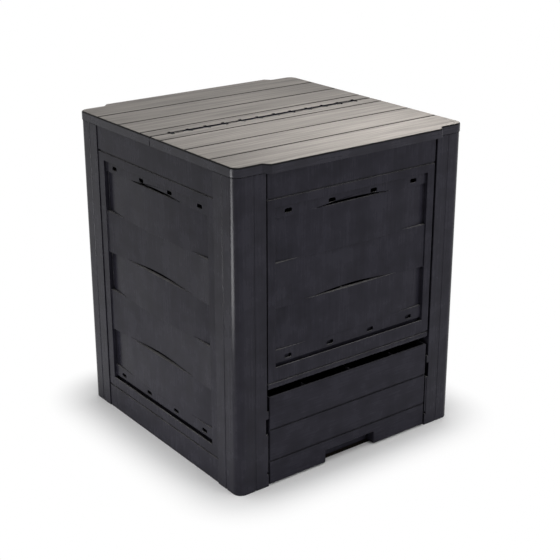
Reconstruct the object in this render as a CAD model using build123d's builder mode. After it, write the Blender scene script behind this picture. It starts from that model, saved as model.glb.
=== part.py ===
from build123d import *
import os

os.makedirs("parts", exist_ok=True)

# A square panel composter: four corner posts, four wall panels, a hatch at the foot of the front
# wall and a lid of two flaps. Z is up, the ground is z = 0, the front wall faces -Y.

# Overall size in millimetres
side = 610  # over the faces of the corner posts
height = 714  # to the top of the lid
half = side / 2
bite = 1  # how far a cut or a join runs past the face it starts from

# Lid
lid_plate = 3
lid_wall = 2.5
lid_skirt = 20
lid_play = 0.5
lid_step = 2  # the posts step in by this under the skirt, so that it sits nearly flush
lid_radius = 20
lid_edge = 4  # rounding of the top edge
lip_reach = 14  # how far the lifting lip stands out from the rest of the edge
lip_half = 240
lip_slant = 12
lip_radius = 5
slat_lines = (40, 130, 220)  # grooves between the slats, from the centre line
slat_width = 5
slat_depth = 1.8
slat_over = 0.1
lid_rib = 2.5
lid_rib_depth = 10
lid_rib_rows = (85, 175, 265)
lid_rib_columns = (-180, 0, 180)
lid_rib_near = 36
lid_rib_far = 272

# Hinge line in the middle of the lid: two wire rods side by side in a row of saddles, with the
# flaps' clips snapped over them and an open slot between the flaps above
hinge_gap = 8.5  # from the centre line to each rod
hinge_drop = 6  # from the lid's top to the middle of the rods
hinge_z = height - hinge_drop
rod_radius = 2.5
rod_length = 592
rod_play = 0.3
slot_half = 6  # half the width of the open slot
slot_end = 256.5  # beyond this the slot closes to a crease
crease_top, crease_foot = 2.8, 0.8  # half the width of the crease
saddle_count = 12
saddle_pitch = 46
saddle_thick = 5
saddle_half = 14
saddle_rise = 1.5  # above the middle of the rod
saddle_room = 1
saddle_notch = 2.5  # how far the flap is notched behind the rod
clip_places = (-230, -92, 92, 230)
clip_length = 24
clip_front, clip_back = 5, 5.5  # the clip's walls, from the middle of the rod
clip_drop = 4.5
clip_mouth = 4.4

# Crossbar that carries the hinge line
bar_half = 24.8
bar_wall = 3
turn_room = 9.5  # below the rods, for the flaps to turn in
bar_top = hinge_z - turn_room
bar_bottom = 655
bar_ribs = (-230, -115, 0, 115, 230)
hinge_room = 17  # half the notch for the hinge in a side panel's top edge
seat_reach = 14
seat_wall = 3
seat_play = 0.2

# Corner posts
leg = 75
post_radius = 20
post_skin = 3
post_top = height - lid_plate - lid_play
step_z = height - lid_skirt - 1
channel_root = 57  # web at the back of the groove that takes a panel's tongue
channel_wall = 3
channel_short = 2  # the groove's back wall ends this far inside the leg's edge
tongue_in = 8  # from the post's face to the front of the tongue
tongue_thick = 3
tongue_play = 0.5
flute_line = 42  # one shallow flute down each leg, from the corner
flute_width = 4
flute_depth = 1
post_rib = 2.5
post_rib_reach = 26
rib_pitch = 142

# Wall panels
panel_setback = 2
panel_plate = 3
side_gap = 1.5  # between a side panel's edges and the posts
front_gap = 4
panel_return = 3
flange_half = 218
flange_reach = 14
flange_thick = 3
recess_half = 206
recess_top = 617
recess_wall = 3
top_seam = 593
board_height = 96
board_thick = 3
strip_depth = 6  # the flat strips that hold the vents
crown_middle, crown_end = 4, 10.5  # depth of a board that bows outward
dish_middle, dish_end = 9.5, 3  # depth of a board that bows inward
recess_depth = crown_end + board_thick
ledge_thick = 3
air_half = 98  # open air slot over the middle of each board that bows outward
air_rise = 5.5  # the slot's height in the middle, from where it tapers to its ends
floor_slot = 6  # open slot along the foot of the recess
guard_in = 13  # guard behind the foot of the recess, from the panel's face
guard_thick = 2.5
guard_drop = 12
guard_rise = 26
line_width = 4.6  # grooves across the panels and the hatch, each with a bead behind it
line_root = 3.6
line_depth = 3
bead_width = 9
bead_depth = 6
upper_line = 637
lower_line = 58
vent_columns = (-169.5, -56.5, 56.5, 169.5)
vent_width = 18
vent_height = 9
vent_corner = 2
upper_vents = 604
side_recess_floor = 82
side_lower_vents = 98
front_bottom = 222
front_recess_floor = 271
front_lower_vents = 287
front_line = 239
roll_radius = 9  # the front panel's lower edge rolls back over the hatch

# Hatch at the foot of the front wall
hatch_half = 223
hatch_bottom = 3
hatch_top = 208
hatch_setback = 0.5
hatch_depth = 30
hatch_wall = 3
hatch_edge = 1.5
hatch_flange = 5  # how far the top edge turns back
hatch_lines = (58, 132)
pocket_half = 70
pocket_top = 33
hatch_rib = 2.5
hatch_rib_depth = 18
hatch_rib_columns = (-125, 0, 125)
pivot_in = 14
pivot_z = 171
stub_radius = 7
stub_length = 16
stub_play = 0.3

# Jambs beside the hatch: a boxed edge with a foot, a strip and a lug in front of the stub axle
jamb_reach = 30
jamb_step = 4  # how far the foot, strip and lug stand out into the gap
foot_height = 28
strip_foot = 34
strip_setback = 1.5
strip_thick = 3
notch_foot = 123
notch_top = 160
notch_width = 3
lug_height = 17
lug_thick = 5.5
stop_reach = 14  # tab behind the hatch that keeps it from swinging inward
stop_gap = 0.5

face_y = -half + panel_setback
hatch_y = -half + hatch_setback
hatch_back = hatch_y + hatch_depth
pivot_y = -half + pivot_in
corner = Plane(origin=(-half, -half, 0))


def upright(y):
    """The upright plane across the bin at that y. Its normal points to the front."""
    return Plane.XZ.offset(-y)


def bar(u0, v0, u1, v1, mode=Mode.ADD):
    """A rectangle between two corners of the sketch."""
    with Locations(((u0 + u1) / 2, (v0 + v1) / 2)):
        Rectangle(u1 - u0, v1 - v0, mode=mode)


def finish(part, name):
    """Labels a finished piece and writes it."""
    part.label = name
    export_step(part, f"parts/{name}.step")


def across(y, z, width, deep, root, reach, mode):
    """A bar or a groove along X that starts at a face and narrows to its root."""
    with BuildSketch(Plane.YZ.offset(-reach)) as section:
        with BuildLine():
            Polyline(
                (y, z - width / 2),
                (y + deep, z - root / 2),
                (y + deep, z + root / 2),
                (y, z + width / 2),
                close=True,
            )
        make_face()
    extrude(section.sketch, amount=2 * reach, mode=mode)


def grooved_line(y, z, inside, reach):
    """A groove across a face, and the bead behind it that keeps the wall whole."""
    across(y + bite, z, bead_width, bead_depth - bite, bead_width - 2, inside, Mode.ADD)
    across(y, z, line_width, line_depth, line_root, reach, Mode.SUBTRACT)


# Corner posts: a thin rounded angle with a groove down the edge of each leg and ribs behind


def rounded_corner(inset):
    """A square from the corner to beyond the legs, inset from the faces, with its corner rounded."""
    with BuildSketch(mode=Mode.PRIVATE) as square:
        bar(inset, inset, leg + bite, leg + bite)
        fillet(square.vertices().sort_by_distance((0, 0))[0], post_radius - inset)
    return square.sketch


def leg_edge(inset, with_jamb):
    """The edge of the leg along X: the groove for a panel's tongue, or the jamb beside the hatch."""
    back = tongue_in + tongue_thick + tongue_play
    with BuildSketch(mode=Mode.PRIVATE) as edge:
        if with_jamb:
            bar(leg - channel_wall, inset, leg, jamb_reach)
            bar(channel_root, inset + bite, channel_root + channel_wall, jamb_reach)
        else:
            bar(leg - channel_wall, inset, leg, tongue_in)
            bar(channel_root, inset + bite, channel_root + channel_wall, back)
            bar(channel_root, back, leg - channel_short, back + channel_wall)
    return edge.sketch


def post_length(low, high, inset, with_jamb):
    """One length of the post, with its skin inset from the faces."""
    with BuildSketch(corner.offset(low)) as section:
        add(rounded_corner(inset))
        add(rounded_corner(inset + post_skin), mode=Mode.SUBTRACT)
        bar(0, leg, leg + bite, leg + bite, Mode.SUBTRACT)
        bar(leg, 0, leg + bite, leg + bite, Mode.SUBTRACT)
        if not inset:
            bar(flute_line, 0, flute_line + flute_width, flute_depth, Mode.SUBTRACT)
            bar(0, flute_line, flute_depth, flute_line + flute_width, Mode.SUBTRACT)
        add(leg_edge(inset, with_jamb))
        add(mirror(leg_edge(inset, False), Plane.XZ.rotated((0, 0, 45)), mode=Mode.PRIVATE))
    extrude(section.sketch, amount=high - low)


def hatch_jamb():
    """What the hatch needs on the front leg: foot and stop tab, strip, lug and axle hole."""
    edge = -half + leg
    inner = edge - channel_wall
    outer = edge + jamb_step
    stop_y = hatch_back + stop_gap
    with BuildSketch(corner) as sole:
        bar(channel_root, bite, leg - bite, jamb_reach)
    extrude(sole.sketch, amount=post_rib)
    with BuildSketch() as foot:
        bar(inner, -half, outer, stop_y + channel_wall)
        bar(edge, stop_y, edge + stop_reach, stop_y + channel_wall)
    extrude(foot.sketch, amount=foot_height)
    with BuildSketch(upright(-half + strip_setback)) as strip:
        bar(inner, strip_foot, outer, notch_foot)
    extrude(strip.sketch, amount=-strip_thick)
    with BuildSketch(upright(-half)) as notch:
        bar(edge - notch_width, notch_foot, edge + bite, notch_top)
    extrude(notch.sketch, amount=-pivot_in, mode=Mode.SUBTRACT)
    with BuildSketch(upright(-half)) as lug:
        bar(inner, notch_top, outer, notch_top + lug_height)
    extrude(lug.sketch, amount=-lug_thick)
    with BuildSketch(Plane.YZ.offset(inner - bite)) as hole:
        with Locations((pivot_y, pivot_z)):
            Circle(stub_radius + stub_play)
    extrude(hole.sketch, amount=channel_wall + 2 * bite, mode=Mode.SUBTRACT)


def corner_post(with_jamb):
    """The post at the corner (-X, -Y), plain or with the hatch's jamb on its front leg."""
    with BuildPart() as post:
        post_length(0, front_bottom, 0, with_jamb)
        post_length(front_bottom, step_z, 0, False)
        post_length(step_z - post_rib, post_top, lid_step, False)
        inset = lid_step + post_skin / 2
        rib_heights = [rib_pitch * i for i in range(int(step_z // rib_pitch) + 1)]
        for z in rib_heights + [post_top - post_rib]:
            with BuildSketch(corner.offset(z)) as rib:
                bar(inset, inset, channel_root + bite, post_rib_reach)
                bar(inset, inset, post_rib_reach, channel_root + bite)
                fillet(rib.vertices().sort_by_distance((0, 0))[0], post_radius - inset)
            extrude(amount=post_rib)
        if with_jamb:
            hatch_jamb()
    return post.part


front_post = corner_post(True)
back_post = corner_post(False)

with BuildPart() as post_front_left:
    add(front_post)
finish(post_front_left.part, "post_front_left")

with BuildPart() as post_front_right:
    add(front_post)
    mirror(about=Plane.YZ, mode=Mode.REPLACE)
finish(post_front_right.part, "post_front_right")

for name, turn in (("post_rear_right", 180), ("post_rear_left", -90)):
    with BuildPart() as post:
        add(back_post, rotation=(0, 0, turn))
    finish(post.part, name)


# Wall panels: a framed recess of boards that bow outward and inward in turn, with vent strips


def panel_frame(bottom, frame_half):
    """The frame plate with its returned edges and tongues, and its top and bottom flanges."""
    tongue_y = -half + tongue_in
    tongue_end = half - channel_root - channel_wall - tongue_play
    with BuildSketch(Plane.XY.offset(bottom)) as section:
        with BuildLine():
            Polyline(
                (0, face_y),
                (frame_half, face_y),
                (frame_half, tongue_y),
                (tongue_end, tongue_y),
                (tongue_end, tongue_y + tongue_thick),
                (frame_half - panel_return, tongue_y + tongue_thick),
                (frame_half - panel_return, face_y + panel_plate),
                (0, face_y + panel_plate),
            )
            mirror(about=Plane.YZ)
        make_face()
    extrude(section.sketch, amount=post_top - bottom)
    for z in (bottom, post_top - flange_thick):
        with BuildSketch(Plane.XY.offset(z)) as flange:
            bar(-flange_half, face_y, flange_half, face_y + flange_reach)
        extrude(flange.sketch, amount=flange_thick)


def rolled_edge(frame_half):
    """Rolls the front panel's lower edge back: the square corner goes, and a bent strip comes in."""
    roll_top = front_bottom + roll_radius
    with BuildSketch(Plane.YZ.offset(-frame_half - bite)) as cut:
        bar(face_y - bite, front_bottom - bite, face_y + roll_radius, roll_top)
    extrude(cut.sketch, amount=2 * (frame_half + bite), mode=Mode.SUBTRACT)
    with BuildSketch(Plane.YZ.offset(-frame_half)) as strip:
        with BuildLine():
            RadiusArc((face_y, roll_top), (face_y + roll_radius, front_bottom), -roll_radius)
            offset(amount=panel_plate, side=Side.LEFT)
        make_face()
    extrude(strip.sketch, amount=2 * frame_half)


def crossbar_seat():
    """The seat for the end of the lid's crossbar, and the notch for the hinge above it."""
    seat_half = bar_half + seat_play
    seat_y = face_y + panel_plate + seat_reach
    with BuildSketch(Plane.XY.offset(bar_bottom - seat_wall)) as seat:
        bar(-seat_half - seat_wall, face_y, seat_half + seat_wall, seat_y)
    extrude(seat.sketch, amount=post_top - bar_bottom + seat_wall)
    with BuildSketch(Plane.XY.offset(bar_bottom)) as pocket:
        bar(-seat_half, face_y + panel_plate, seat_half, seat_y)
    extrude(pocket.sketch, amount=post_top - bar_bottom, mode=Mode.SUBTRACT)
    with BuildSketch(upright(face_y - bite)) as notch:
        bar(-hinge_room, bar_top, hinge_room, post_top + bite)
    extrude(notch.sketch, amount=-(2 * bite + seat_y - face_y), mode=Mode.SUBTRACT)


def behind(middle, end, extra):
    """The region from a board's front line, moved back by extra, to well behind the panel."""
    deep = 3 * recess_depth
    at_end, at_middle = end + extra, middle + extra
    with BuildSketch(mode=Mode.PRIVATE) as region:
        with BuildLine():
            if at_end == at_middle:
                Line((-recess_half, at_end), (recess_half, at_end))
            else:
                ThreePointArc((-recess_half, at_end), (0, at_middle), (recess_half, at_end))
            Polyline(
                (recess_half, at_end),
                (recess_half, deep),
                (-recess_half, deep),
                (-recess_half, at_end),
            )
        make_face()
    return region.sketch


def board(shape, low, high):
    """One board of even thickness that follows its front line."""
    with BuildSketch(Plane((0, face_y, low))) as section:
        add(behind(*shape, 0))
        add(behind(*shape, board_thick), mode=Mode.SUBTRACT)
    extrude(section.sketch, amount=high - low)


def ledge(above, below, seam):
    """The step where two boards meet: it fills the depth between them and no more."""
    with BuildSketch(mode=Mode.PRIVATE) as behind_both:
        add(behind(*above, board_thick))
        add(behind(*below, board_thick), mode=Mode.INTERSECT)
    with BuildSketch(Plane((0, face_y, seam - ledge_thick / 2))) as section:
        add(behind(*above, 0))
        add(behind(*below, 0))
        add(behind_both.sketch, mode=Mode.SUBTRACT)
    extrude(section.sketch, amount=ledge_thick)


def air_slot(seam):
    """Cuts the lens-shaped slot over a board that bows outward."""
    foot = seam + ledge_thick / 2
    with BuildSketch(upright(face_y - bite)) as slot:
        with BuildLine():
            ThreePointArc((-air_half, foot), (0, foot + air_rise), (air_half, foot))
            Line((-air_half, foot), (air_half, foot))
        make_face()
    extrude(slot.sketch, amount=-2 * recess_depth, mode=Mode.SUBTRACT)


def spill_guard(floor):
    """The guard behind the foot of the recess, which keeps the filling off the slot and the vents."""
    foot = floor - guard_drop
    with BuildSketch(Plane.YZ.offset(-recess_half)) as section:
        with BuildLine():
            Polyline(
                (face_y + bite, foot),
                (face_y + guard_in + guard_thick, foot),
                (face_y + guard_in + guard_thick, floor + guard_rise),
                (face_y + guard_in, floor + guard_rise),
                (face_y + guard_in, foot + guard_thick),
                (face_y + bite, foot + guard_thick),
                close=True,
            )
        make_face()
    extrude(section.sketch, amount=2 * recess_half)


def panel(bottom, floor, lower_vents, line_heights, gap):
    """A wall panel that faces -Y, from its bottom edge to the top of the posts."""
    frame_half = half - leg - gap
    with BuildPart() as wall:
        panel_frame(bottom, frame_half)
        if bottom:
            rolled_edge(frame_half)
        else:
            crossbar_seat()
        # the recess: a rim behind the plate, cut open at the front
        rim = recess_half + recess_wall
        with BuildSketch(upright(face_y)):
            bar(-rim, floor, rim, recess_top + recess_wall)
        extrude(amount=-recess_depth)
        with BuildSketch(upright(face_y - bite)):
            bar(-recess_half, floor, recess_half, recess_top)
        extrude(amount=-(recess_depth + 2 * bite), mode=Mode.SUBTRACT)
        # boards between two flat vent strips, bowing outward and inward in turn
        strip = (strip_depth, strip_depth)
        crown = (crown_middle, crown_end)
        dish = (dish_middle, dish_end)
        count = int((top_seam - floor) // board_height)
        shapes = [strip] + [(crown, dish)[i % 2] for i in range(count)] + [strip]
        seams = [top_seam - board_height * i for i in range(count + 1)]
        edges = [recess_top] + seams + [floor]
        for shape, high, low in zip(shapes, edges, edges[1:]):
            board(shape, low, high)
        for above, below, seam in zip(shapes, shapes[1:], seams):
            ledge(above, below, seam)
            if below == crown:
                air_slot(seam)
        # open slot along the foot of the recess, and vents through the two strips
        with BuildSketch(upright(face_y + panel_plate)):
            bar(-recess_half, floor, recess_half, floor + floor_slot)
        extrude(amount=-recess_depth, mode=Mode.SUBTRACT)
        with BuildSketch(upright(face_y - bite)) as vents:
            with Locations([(x, z) for x in vent_columns for z in (upper_vents, lower_vents)]):
                Rectangle(vent_width, vent_height)
            chamfer(vents.vertices(), vent_corner)
        extrude(amount=-2 * recess_depth, mode=Mode.SUBTRACT)
        spill_guard(floor)
        for z in line_heights:
            grooved_line(face_y, z, frame_half - bite, frame_half)
    return wall.part


side_panel = panel(0, side_recess_floor, side_lower_vents, (lower_line, upper_line), side_gap)
for name, turn in (("panel_left", -90), ("panel_right", 90), ("panel_rear", 180)):
    with BuildPart() as wall:
        add(side_panel, rotation=(0, 0, turn))
    finish(wall.part, name)

with BuildPart() as panel_front:
    add(panel(front_bottom, front_recess_floor, front_lower_vents, (front_line, upper_line), front_gap))
finish(panel_front.part, "panel_front")


# Hatch: a ribbed tray on two stub axles near its top, with a finger pocket at its foot

with BuildPart() as hatch:
    with BuildSketch(upright(hatch_y)):
        bar(-hatch_half, hatch_bottom, hatch_half, hatch_top)
        bar(-pocket_half, hatch_bottom, pocket_half, pocket_top, Mode.SUBTRACT)
    extrude(amount=-hatch_depth)
    open_back = hatch.faces().sort_by(Axis.Y)[-1]
    offset(amount=-hatch_wall, openings=open_back, kind=Kind.INTERSECTION)
    chamfer(hatch.faces().sort_by(Axis.Y)[0].outer_wire().edges(), hatch_edge)
    # the top edge turns back only a little, and the pocket is closed behind
    with BuildSketch(upright(hatch_back + bite)):
        bar(-hatch_half + hatch_wall, hatch_top - 2 * hatch_wall, hatch_half - hatch_wall, hatch_top + bite)
    extrude(amount=hatch_depth - hatch_flange + bite, mode=Mode.SUBTRACT)
    with BuildSketch(upright(hatch_back)):
        bar(-pocket_half - bite, hatch_bottom, pocket_half + bite, pocket_top + bite)
    extrude(amount=hatch_wall)
    with BuildSketch(upright(hatch_y + hatch_wall - bite)):
        for x in hatch_rib_columns:
            bar(x - hatch_rib / 2, hatch_bottom + bite, x + hatch_rib / 2, hatch_top - bite)
        bar(-pocket_half - bite, hatch_bottom, pocket_half + bite, pocket_top + bite, Mode.SUBTRACT)
    extrude(amount=-hatch_rib_depth - bite)
    for z in hatch_lines:
        grooved_line(hatch_y, z, hatch_half - bite, hatch_half)
    for x in (-hatch_half - stub_length, hatch_half - bite):
        with BuildSketch(Plane.YZ.offset(x)):
            with Locations((pivot_y, pivot_z)):
                Circle(stub_radius)
        extrude(amount=stub_length + bite)
finish(hatch.part, "hatch")


# Crossbar: a channel open below that hangs in the side panels' seats and carries the saddles

saddle_places = [saddle_pitch * (i - (saddle_count - 1) / 2) for i in range(saddle_count)]

with BuildPart() as lid_crossbar:
    bar_end = half - panel_setback - panel_plate
    inside = bar_half - bar_wall
    with BuildSketch(Plane.YZ.offset(-bar_end)):
        bar(-bar_half, bar_bottom, bar_half, bar_top)
        bar(-inside, bar_bottom, inside, bar_top - bar_wall, Mode.SUBTRACT)
    extrude(amount=2 * bar_end)
    for x in bar_ribs:
        with BuildSketch(Plane.YZ.offset(x - bar_wall / 2)):
            bar(-inside - bite, bar_bottom, inside + bite, bar_top - bite)
        extrude(amount=bar_wall)
    # each saddle has two six-sided snap grooves for the rods
    for x in saddle_places:
        with BuildSketch(Plane.YZ.offset(x - saddle_thick / 2)):
            bar(-saddle_half, bar_top - bite, saddle_half, hinge_z + saddle_rise)
            with Locations((-hinge_gap, hinge_z), (hinge_gap, hinge_z)):
                RegularPolygon(rod_radius, 6, False, mode=Mode.SUBTRACT)
        extrude(amount=saddle_thick)
finish(lid_crossbar.part, "lid_crossbar")

for name, s in (("hinge_rod_front", -1), ("hinge_rod_rear", 1)):
    with BuildPart() as rod:
        with BuildSketch(Plane.YZ.offset(-rod_length / 2)):
            with Locations((s * hinge_gap, hinge_z)):
                Circle(rod_radius)
        extrude(amount=rod_length)
    finish(rod.part, name)


# Lid flaps: one moulding used twice, a slatted tray with a lifting lip and clips along its hinge

with BuildPart() as lid_front:
    lid_half = half - lid_step + lid_play + lid_wall
    skirt_z = height - lid_skirt
    plate_z = height - lid_plate
    beyond = 2 * lid_skirt  # the blank runs this far over the centre line before it is trimmed
    with BuildSketch(Plane.XY.offset(skirt_z)) as outline:
        with BuildLine():
            Polyline(
                (0, -lid_half - lip_reach),
                (lip_half - lip_slant, -lid_half - lip_reach),
                (lip_half, -lid_half),
                (lid_half, -lid_half),
                (lid_half, beyond),
                (0, beyond),
            )
            mirror(about=Plane.YZ)
        make_face()
        outer = outline.vertices().filter_by(lambda v: v.Y < 0)
        fillet(outer.filter_by(lambda v: abs(v.X) > lip_half + bite), lid_radius)
        lip_bends = outline.vertices().filter_by(lambda v: bite < abs(v.X) < lip_half - bite)
        fillet(lip_bends, lip_radius)
    extrude(amount=lid_skirt)
    fillet(lid_front.faces().sort_by(Axis.Z)[-1].edges(), lid_edge)
    with BuildSketch(Plane.XY.offset(skirt_z)):
        add(outline.sketch_local)
        offset(amount=-lid_wall, mode=Mode.REPLACE)
    extrude(amount=lid_skirt - lid_plate, mode=Mode.SUBTRACT)
    # stiffening ribs under the slats
    with BuildSketch(Plane.XY.offset(plate_z - lid_rib_depth)):
        for y in lid_rib_rows:
            bar(-lid_rib_far, -y - lid_rib / 2, lid_rib_far, -y + lid_rib / 2)
        for x in lid_rib_columns:
            bar(x - lid_rib / 2, -lid_rib_far, x + lid_rib / 2, -lid_rib_near)
    extrude(amount=lid_rib_depth + bite)
    with BuildSketch(Plane.YZ.offset(-lid_half - bite)):
        for y in slat_lines:
            with BuildLine():
                Polyline(
                    (-y - slat_width / 2, height + slat_over),
                    (-y, height - slat_depth),
                    (-y + slat_width / 2, height + slat_over),
                    close=True,
                )
            make_face()
    extrude(amount=2 * (lid_half + bite), mode=Mode.SUBTRACT)
    # inner edge: a crease between the flaps, opened to a slot with a notch round each saddle
    with BuildSketch(Plane.YZ.offset(-lid_half - bite)):
        with BuildLine():
            Polyline(
                (-crease_foot, skirt_z - bite),
                (-crease_foot, plate_z),
                (-crease_top, height),
                (-crease_top, height + bite),
                (beyond + bite, height + bite),
                (beyond + bite, skirt_z - bite),
                close=True,
            )
        make_face()
    extrude(amount=2 * (lid_half + bite), mode=Mode.SUBTRACT)
    with BuildSketch(Plane.XY.offset(plate_z - bite)):
        bar(-slot_end, -slot_half, slot_end, slot_half)
        notch_half = saddle_thick / 2 + saddle_room
        for x in saddle_places:
            bar(x - notch_half, -hinge_gap - saddle_notch, x + notch_half, 0)
    extrude(amount=lid_plate + 2 * bite, mode=Mode.SUBTRACT)
    # eight-sided clips that snap over the rod from above
    clip_foot = hinge_z - clip_drop
    for x in clip_places:
        with BuildSketch(Plane.YZ.offset(x - clip_length / 2)):
            bar(-hinge_gap - clip_back, clip_foot, -hinge_gap + clip_front, plate_z + bite)
            mouth = clip_mouth / 2
            bar(-hinge_gap - mouth, clip_foot, -hinge_gap + mouth, hinge_z, Mode.SUBTRACT)
            with Locations((-hinge_gap, hinge_z)):
                RegularPolygon(rod_radius + rod_play, 8, False, rotation=22.5, mode=Mode.SUBTRACT)
        extrude(amount=clip_length)
finish(lid_front.part, "lid_front")

with BuildPart() as lid_rear:
    add(lid_front.part, rotation=(0, 0, 180))
finish(lid_rear.part, "lid_rear")
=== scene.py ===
import math

import bpy
from mathutils import Matrix, Vector

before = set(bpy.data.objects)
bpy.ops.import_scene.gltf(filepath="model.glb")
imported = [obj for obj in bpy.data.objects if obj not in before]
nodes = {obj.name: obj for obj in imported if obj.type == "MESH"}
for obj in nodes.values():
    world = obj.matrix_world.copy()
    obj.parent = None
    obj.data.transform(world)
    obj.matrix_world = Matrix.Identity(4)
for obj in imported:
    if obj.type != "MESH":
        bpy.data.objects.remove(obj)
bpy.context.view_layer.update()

# Corner posts
# Four thin rounded angles, injection-moulded in charcoal polypropylene and ribbed behind. The wall
# panels' tongues slide down the grooves along their edges, and no screw holds them.
post_edge = 0.0007
post_flow = (1, 1, 0.02)  # streaks run along the axis with the small number
post_dust_and_highlight, post_gloss = 1, 0.1


class Wire:
    """A socket in a material's node tree. Arithmetic on it adds Math nodes."""

    def __init__(self, tree, socket=None):
        self.tree = tree
        self.socket = socket

    def node(self, kind, settings, sockets, output=0):
        """Adds any node, its settings first and then the values or links of its sockets."""
        made = self.tree.nodes.new(kind)
        for name, value in settings.items():
            setattr(made, name, value)
        for name, value in sockets.items():
            if isinstance(value, Wire):
                self.tree.links.new(value.socket, made.inputs[name])
            else:
                made.inputs[name].default_value = value
        return Wire(self.tree, made.outputs[output] if made.outputs else None)

    def math(self, operation, *values):
        return self.node("ShaderNodeMath", {"operation": operation}, dict(enumerate(values)))

    def __add__(self, other):
        return self.math("ADD", self, other)

    def __sub__(self, other):
        return self.math("SUBTRACT", self, other)

    def __rsub__(self, other):
        return self.math("SUBTRACT", other, self)

    def __mul__(self, other):
        return self.math("MULTIPLY", self, other)

    def __gt__(self, other):
        return self.math("GREATER_THAN", self, other)

    __radd__ = __add__
    __rmul__ = __mul__

    def clamp(self, low, high):
        return self.math("MINIMUM", self.math("MAXIMUM", self, low), high)

    def fade(self, low, high):
        """0 below low, 1 above high and a smooth step between."""
        settings = {"interpolation_type": "SMOOTHSTEP"}
        return self.node("ShaderNodeMapRange", settings, {0: self, 1: low, 2: high})

    def blend(self, first, second):
        """A colour that goes from the first to the second as this value goes from 0 to 1."""
        settings = {"data_type": "RGBA"}
        return self.node("ShaderNodeMix", settings, {0: self, 6: first, 7: second}, 2)


def paint(red, green, blue):
    """A colour given in the usual 0 to 255 steps, as the linear colour that shaders take."""
    steps = [value / 255 for value in (red, green, blue)]
    linear = [s / 12.92 if s <= 0.04045 else ((s + 0.055) / 1.055) ** 2.4 for s in steps]
    return (*linear, 1)


def new_material(name):
    """An empty material, and the wire that its nodes are added with."""
    material = bpy.data.materials.new(name)
    material.use_nodes = True
    material.node_tree.nodes.clear()
    return material, Wire(material.node_tree)


def axis_of(wire, kind, axis):
    """One axis of a Texture Coordinate output, such as the piece's own place or facing."""
    vector = wire.node("ShaderNodeTexCoord", {}, {}, kind)
    return wire.node("ShaderNodeSeparateXYZ", {}, {0: vector}, axis)


def noise(wire, stretch, size, detail):
    """Noise on the piece's own coordinates, with features of that size in metres."""
    place = wire.node("ShaderNodeTexCoord", {}, {}, "Object")
    drawn = wire.node("ShaderNodeVectorMath", {"operation": "MULTIPLY"}, {0: place, 1: stretch})
    sockets = {"Vector": drawn, "Scale": 1 / size, "Detail": detail}
    return wire.node("ShaderNodeTexNoise", {}, sockets, "Fac")


def relief(wire, height, strength=1.0):
    """A bump from a height in metres."""
    sockets = {"Height": height, "Distance": 1.0, "Strength": strength}
    return wire.node("ShaderNodeBump", {}, sockets)


def plastic(wire, colour, rough, bump, gloss):
    """A moulded surface. Its reflection level is the same all over."""
    sockets = {"Base Color": colour, "Roughness": rough, "Normal": bump, "Specular IOR Level": gloss}
    return wire.node("ShaderNodeBsdfPrincipled", {}, sockets)


even = (1, 1, 1)
pigment_size, streak_size, grain_size, warp_size = 0.05, 0.004, 0.0011, 0.16
streak_height, grain_height, warp_height = 0.00003, 0.00002, 0.0011
charcoal_dark, charcoal_light = paint(33, 32, 39), paint(43, 42, 50)
crevice_painted_shade, crevice_reach, crevice_rays = paint(8, 8, 10), 0.01, 3
dust_and_highlight_grey = paint(165, 163, 161)


def charcoal(wire, flow, dust_and_highlight_share, gloss):
    """Charcoal plastic: mottled pigment, streaks along the flow, an eroded grain, painted shade in
    crevices, and dust on upward faces that also paints their highlights.
    """
    pigment = noise(wire, even, pigment_size, 4)
    streaks = noise(wire, flow, streak_size, 2)
    grain = noise(wire, even, grain_size, 2)
    warp = noise(wire, even, warp_size, 1)
    tone = (pigment * 0.6 + streaks * 0.25 + grain * 0.15).fade(0.36, 0.64)
    body = tone.blend(charcoal_dark, charcoal_light)
    rays = {"samples": crevice_rays}
    # Crevices and recesses are painted darker where the AO finds them closed in: painted shade.
    openness = wire.node("ShaderNodeAmbientOcclusion", rays, {"Distance": crevice_reach}, "AO")
    shaded = openness.fade(0.15, 0.75).blend(crevice_painted_shade, body)
    # Upward faces get light grey dust, laid on more strongly than dust alone so that ledge tops show
    # as light dashes: partly dust, partly painted highlight.
    level_top = axis_of(wire, "Normal", "Z").fade(0.5, 0.95)
    dust_and_highlight = level_top * openness.fade(0.5, 0.7) * (0.2 + 0.4 * pigment) * dust_and_highlight_share
    colour = dust_and_highlight.blend(shaded, dust_and_highlight_grey)
    rough = 0.18 + 0.12 * pigment + 0.05 * streaks
    height = warp * warp_height + streaks * streak_height + grain * grain_height
    return plastic(wire, colour, rough, relief(wire, height, 0.8), gloss)


def moulded(name, flow, dust_and_highlight_share, gloss):
    """A material that is charcoal plastic all over."""
    material, wire = new_material(name)
    surface = charcoal(wire, flow, dust_and_highlight_share, gloss)
    wire.node("ShaderNodeOutputMaterial", {}, {"Surface": surface})
    return material


smooth_faces = bpy.data.node_groups.new("smooth_faces", "GeometryNodeTree")
for way in ("INPUT", "OUTPUT"):
    smooth_faces.interface.new_socket("Geometry", in_out=way, socket_type="NodeSocketGeometry")
group_in = smooth_faces.nodes.new("NodeGroupInput")
group_out = smooth_faces.nodes.new("NodeGroupOutput")
shade = smooth_faces.nodes.new("GeometryNodeSetShadeSmooth")
smooth_faces.links.new(group_in.outputs[0], shade.inputs["Geometry"])
smooth_faces.links.new(shade.outputs[0], group_out.inputs[0])
weld_gap = 0.00001
flat_angle, sharp_angle = math.radians(0.6), math.radians(30)


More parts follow.
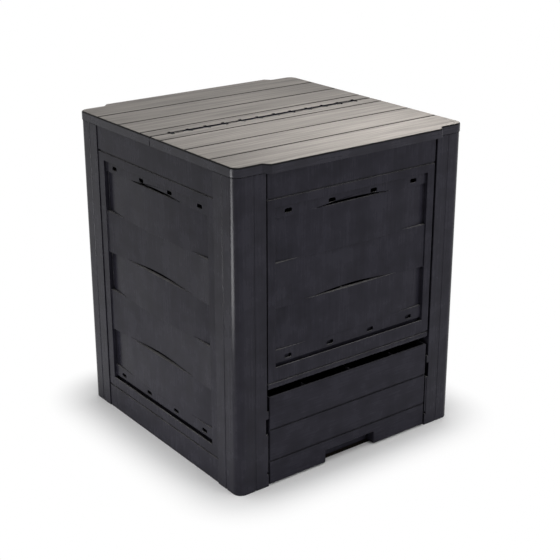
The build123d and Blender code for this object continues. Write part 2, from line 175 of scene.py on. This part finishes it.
def dress(name, material, edge):
    """Gives a moulded piece its finish and rounds its sharp edges to that radius."""
    piece = nodes[name]
    piece.material_slots[0].link = "OBJECT"
    piece.material_slots[0].material = material
    weld = piece.modifiers.new("weld", "WELD")
    weld.merge_threshold = weld_gap
    flats = piece.modifiers.new("flats", "DECIMATE")
    flats.decimate_type = "DISSOLVE"
    flats.angle_limit = flat_angle
    rounding = piece.modifiers.new("rounding", "BEVEL")
    rounding.width = edge
    rounding.segments = 2
    rounding.angle_limit = sharp_angle
    rounding.use_clamp_overlap = False
    piece.modifiers.new("smooth", "NODES").node_group = smooth_faces
    piece.modifiers.new("shading", "WEIGHTED_NORMAL").weight = 100


post_plastic = moulded("post_plastic", post_flow, post_dust_and_highlight, post_gloss)
for corner in ("front_left", "front_right", "rear_right", "rear_left"):
    dress("post_" + corner, post_plastic, post_edge)

# Wall panels
# Four mouldings of the same charcoal plastic. Each is a frame round a recess of bowed boards, with
# air slots between the boards and rows of vents, and its tongues slide into the posts.
panel_edge = 0.0007
panel_flow = (1, 1, 0.05)
panel_dust_and_highlight, panel_gloss = 1, 0.07
panel_plastic = moulded("panel_plastic", panel_flow, panel_dust_and_highlight, panel_gloss)
for wall in ("left", "right", "rear", "front"):
    dress("panel_" + wall, panel_plastic, panel_edge)

# Hatch
# A ribbed tray of charcoal plastic at the foot of the front wall. It hangs on two stub axles that
# snap into the posts, and is pulled open by the pocket in its lower edge.
hatch_edge = 0.0007
hatch_flow = (0.05, 1, 1)
hatch_dust_and_highlight, hatch_gloss = 0.2, 0.06
hatch_plastic = moulded("hatch_plastic", hatch_flow, hatch_dust_and_highlight, hatch_gloss)
dress("hatch", hatch_plastic, hatch_edge)

# Crossbar
# A channel of charcoal plastic across the top of the bin, dropped into seats on the side panels.
# Its row of saddles holds the two hinge rods.
bar_edge = 0.0005
bar_flow = (0.05, 1, 1)
bar_dust_and_highlight, bar_gloss = 0.1, 0.15
bar_plastic = moulded("bar_plastic", bar_flow, bar_dust_and_highlight, bar_gloss)
dress("lid_crossbar", bar_plastic, bar_edge)

# Hinge rods
# Two straight lengths of drawn, zinc-plated steel wire that the lid flaps turn on. They are snapped
# into the crossbar's saddles.
rod_edge = 0.0003
draw_flow, draw_size, draw_height = (0.02, 1, 1), 0.0006, 0.00003
bloom_size = 0.012
zinc_dull, zinc_bright = paint(150, 152, 155), paint(185, 186, 184)


def zinc(name):
    """Dull zinc on drawn wire: fine draw lines along the wire and a patchy bloom."""
    material, wire = new_material(name)
    draw_lines = noise(wire, draw_flow, draw_size, 2)
    bloom = noise(wire, even, bloom_size, 3).fade(0.4, 0.7)
    colour = bloom.blend(zinc_dull, zinc_bright)
    rough = 0.28 + 0.2 * bloom + 0.1 * draw_lines
    bump = relief(wire, draw_lines * draw_height)
    sockets = {"Base Color": colour, "Roughness": rough, "Normal": bump, "Metallic": 1.0}
    surface = wire.node("ShaderNodeBsdfPrincipled", {}, sockets)
    wire.node("ShaderNodeOutputMaterial", {}, {"Surface": surface})
    return material


rod_zinc = zinc("rod_zinc")
for place in ("front", "rear"):
    dress("hinge_rod_" + place, rod_zinc, rod_edge)

# Lid flaps
# Two mouldings from one tool, with a slatted top that has a fine lengthwise grain on a grey that is
# partly painted sheen, grooves painted with shade, a top edge painted dark as a reflection and a
# lifting lip. Clips under the inner edge snap over the hinge rods.
lid_edge = 0.0006
slat_lines = (0.040, 0.130, 0.220)
slat_painted_sheen_dark, slat_painted_sheen_light, groove_painted_shade = paint(94, 90, 86), paint(136, 131, 126), paint(84, 78, 73)
groove_half, groove_fade = 0.001, 0.005
slat_height, slat_gloss = 0.00008, 0.12
rim_painted_reflection, rim_gloss = paint(9, 9, 11), 0.15
skirt_flow, skirt_dust_and_highlight, skirt_gloss = (0.05, 1, 1), 0, 0.15


def slat_grain(wire, along, across, slat, lengthwise, crosswise, shift, detail):
    """Noise drawn out along the slats, in waves per metre each way, that starts anew on each slat."""
    sockets = {0: along * lengthwise + slat * shift, 1: across * crosswise}
    drawn = wire.node("ShaderNodeCombineXYZ", {}, sockets)
    sockets = {"Vector": drawn, "Scale": 1.0, "Detail": detail}
    return wire.node("ShaderNodeTexNoise", {}, sockets, "Fac")


def slatted(name):
    """Lid plastic: each slat has its own run of grain on a grey that is partly painted sheen, the
    grooves carry painted shade, the rounded top edge is painted dark as a reflection, and the sides
    are plain charcoal.
    """
    material, wire = new_material(name)
    up = axis_of(wire, "Normal", "Z")
    along = axis_of(wire, "Object", "X")
    across = axis_of(wire, "Object", "Y")
    from_middle = wire.math("ABSOLUTE", across)
    slat = across > 0
    gap = from_middle
    for line in slat_lines:
        slat = slat + (across > line) + (across > -line)
        gap = wire.math("MINIMUM", gap, wire.math("ABSOLUTE", from_middle - line))
    grain = slat_grain(wire, along, across, slat, lengthwise=5, crosswise=420, shift=7.7, detail=3)
    bands = slat_grain(wire, along, across, slat, lengthwise=3, crosswise=90, shift=3.1, detail=2)
    figure = (grain * 0.6 + bands * 0.4).fade(0.35, 0.65)
    # The grey of the slats is partly a painted sheen on dark plastic.
    clean = figure.blend(slat_painted_sheen_dark, slat_painted_sheen_light)
    # A soft band along each groove is painted darker: painted shade.
    colour = gap.fade(groove_half, groove_fade).blend(groove_painted_shade, clean)
    bump = relief(wire, grain * slat_height)
    slats = plastic(wire, colour, 0.45 + 0.14 * figure, bump, slat_gloss)
    skirt = charcoal(wire, skirt_flow, skirt_dust_and_highlight, skirt_gloss)
    # The rounded top edge is painted near black by its facing: a painted dark reflection.
    painted_rim = plastic(wire, rim_painted_reflection, 0.3 + 0.1 * figure, bump, rim_gloss)
    edges = wire.node("ShaderNodeMixShader", {}, {0: up.fade(0.1, 0.35), 1: skirt, 2: painted_rim})
    surface = wire.node("ShaderNodeMixShader", {}, {0: up.fade(0.86, 0.97), 1: edges, 2: slats})
    wire.node("ShaderNodeOutputMaterial", {}, {"Surface": surface})
    return material


lid_plastic = slatted("lid_plastic_grained")
for place in ("front", "rear"):
    dress("lid_" + place, lid_plastic, lid_edge)

# Floor
# A pale studio floor that takes a narrow shadow round the bin's foot and runs out into plain white.
# The bin has no bottom of its own, and the floor under it is a mottled square painted dark as shade.
floor_half = 9
footing_half = 0.25  # half the square that the shadow is measured from
shadow_from, shadow_to = 0.05, 0.2
shade_patch_half = 0.285
shade_patch_mottle_size = 0.006
shade_patch_dark, shade_patch_light = paint(28, 25, 22), paint(46, 40, 35)
floor_pale = paint(248, 248, 248)
floor_mesh = bpy.data.meshes.new("floor")
ends = (-floor_half, floor_half)
floor_mesh.from_pydata([(x, y, 0) for y in ends for x in ends], [], [(0, 1, 3, 2)])
floor = bpy.data.objects.new("floor", floor_mesh)
bpy.context.scene.collection.objects.link(floor)


def seen(wire):
    """1 for what the camera sees straight on, in a reflection or through a clear piece."""
    rays = ("Is Camera Ray", "Is Glossy Ray", "Is Transmission Ray")
    found = [wire.node("ShaderNodeLightPath", {}, {}, ray) for ray in rays]
    return (found[0] + found[1] + found[2]).clamp(0, 1)


floor_paint, wire = new_material("floor_paint")
east, north = [wire.math("ABSOLUTE", axis_of(wire, "Object", axis)) for axis in "XY"]
beyond_east, beyond_north = [wire.math("MAXIMUM", way - footing_half, 0) for way in (east, north)]
away = wire.math("SQRT", beyond_east * beyond_east + beyond_north * beyond_north)
outside = wire.math("MAXIMUM", east, north) > shade_patch_half
lit = away.fade(shadow_from, shadow_to) * outside * seen(wire)
# Under the bin the floor is painted dark and mottled: painted shade.
shade_patch = noise(wire, even, shade_patch_mottle_size, 4).blend(shade_patch_dark, shade_patch_light)
matt = wire.node("ShaderNodeBsdfDiffuse", {}, {"Color": outside.blend(shade_patch, floor_pale)})
white = wire.node("ShaderNodeEmission", {}, {"Color": (1, 1, 1, 1), "Strength": 1.0})
mixed = wire.node("ShaderNodeMixShader", {}, {0: lit, 1: matt, 2: white})
wire.node("ShaderNodeOutputMaterial", {}, {"Surface": mixed})
floor_mesh.materials.append(floor_paint)

# Studio light
# A white room with a dark ceiling and soft boxes: wide ones overhead and behind, one each for the
# front wall, the lid's front edge and the left wall's foot, and a strip on the floor at the left.
# The strip only shows in gloss, as the light line down the near corner.
room_level, ceiling_level = 0.42, 0.15
ceiling_from, ceiling_to = 0.24, 0.4
world = bpy.data.worlds.new("studio")
bpy.context.scene.world = world
world.use_nodes = True
world.node_tree.nodes.clear()
wire = Wire(world.node_tree)
rise = axis_of(wire, "Generated", "Z")
backdrop = 1 - (1 - ceiling_level) * rise.fade(ceiling_from, ceiling_to)
level = room_level + (backdrop - room_level) * seen(wire)
room = wire.node("ShaderNodeBackground", {}, {"Color": (1, 1, 1, 1), "Strength": level})
wire.node("ShaderNodeOutputWorld", {}, {"Surface": room})


def soft_box(name, place, aim, width, tall, radiance, in_gloss=True, in_matt=True):
    """A rectangular lamp of that radiance that faces a point, and shows in gloss, on matt or both."""
    light = bpy.data.lights.new(name, "AREA")
    light.shape = "RECTANGLE"
    light.size = width
    light.size_y = tall
    light.energy = radiance * math.pi * width * tall
    lamp = bpy.data.objects.new(name, light)
    lamp.location = place
    lamp.rotation_euler = (Vector(aim) - Vector(place)).to_track_quat("-Z", "Y").to_euler()
    lamp.visible_camera = False
    lamp.visible_glossy = in_gloss
    lamp.visible_diffuse = in_matt
    bpy.context.scene.collection.objects.link(lamp)


soft_box("overhead", place=(-0.4, -0.5, 3.4), aim=(-0.4, -0.5, 0), width=4, tall=4, radiance=1.1)
soft_box("front", place=(0.9, -2.8, 1.1), aim=(0, 0, 0.4), width=1.4, tall=1.4, radiance=3,
         in_gloss=False)
soft_box("lid", place=(0.15, -0.28, 1.1), aim=(0.15, -0.27, 0.714), width=0.5, tall=0.07, radiance=32,
         in_gloss=False)
soft_box("left_floor", place=(-1.77, 0.06, 0.12), aim=(-1.67, 0.04, 1.12), width=0.62, tall=1.4,
         radiance=19, in_matt=False)
soft_box("left_foot", place=(-0.68, -0.05, 0.05), aim=(-0.305, -0.05, 0.07), width=0.6, tall=0.06,
         radiance=8, in_gloss=False)
soft_box("behind", place=(1.75, 2.5, 2.8), aim=(0, 0, 0.7), width=2.6, tall=1.3, radiance=0.65)

# Camera
# It stands to the left of the front and a little above the lid, and looks slightly down. The frame is
# shifted a little, because the picture's upright lines are nearly parallel.
azimuth, elevation = math.radians(-37.26), math.radians(19.98)
distance, aside, above = 2.921, 0.0281, 0.3686
picture_side, focal_pixels = 560, 1205.5
frame_shift = -0.05
right = Vector((math.cos(azimuth), math.sin(azimuth), 0))
back = Vector((math.sin(azimuth), -math.cos(azimuth), math.tan(elevation))).normalized()
up = back.cross(right)
lens = bpy.data.cameras.new("camera")
lens.sensor_width = 36
lens.lens = focal_pixels / picture_side * lens.sensor_width
lens.shift_y = frame_shift
camera = bpy.data.objects.new("camera", lens)
turn = Matrix((right, up, back)).transposed().to_4x4()
camera.matrix_world = Matrix.Translation(back * distance + right * aside + up * above) @ turn
bpy.context.scene.collection.objects.link(camera)
bpy.context.scene.camera = camera
bpy.context.scene.view_settings.view_transform = "Standard"
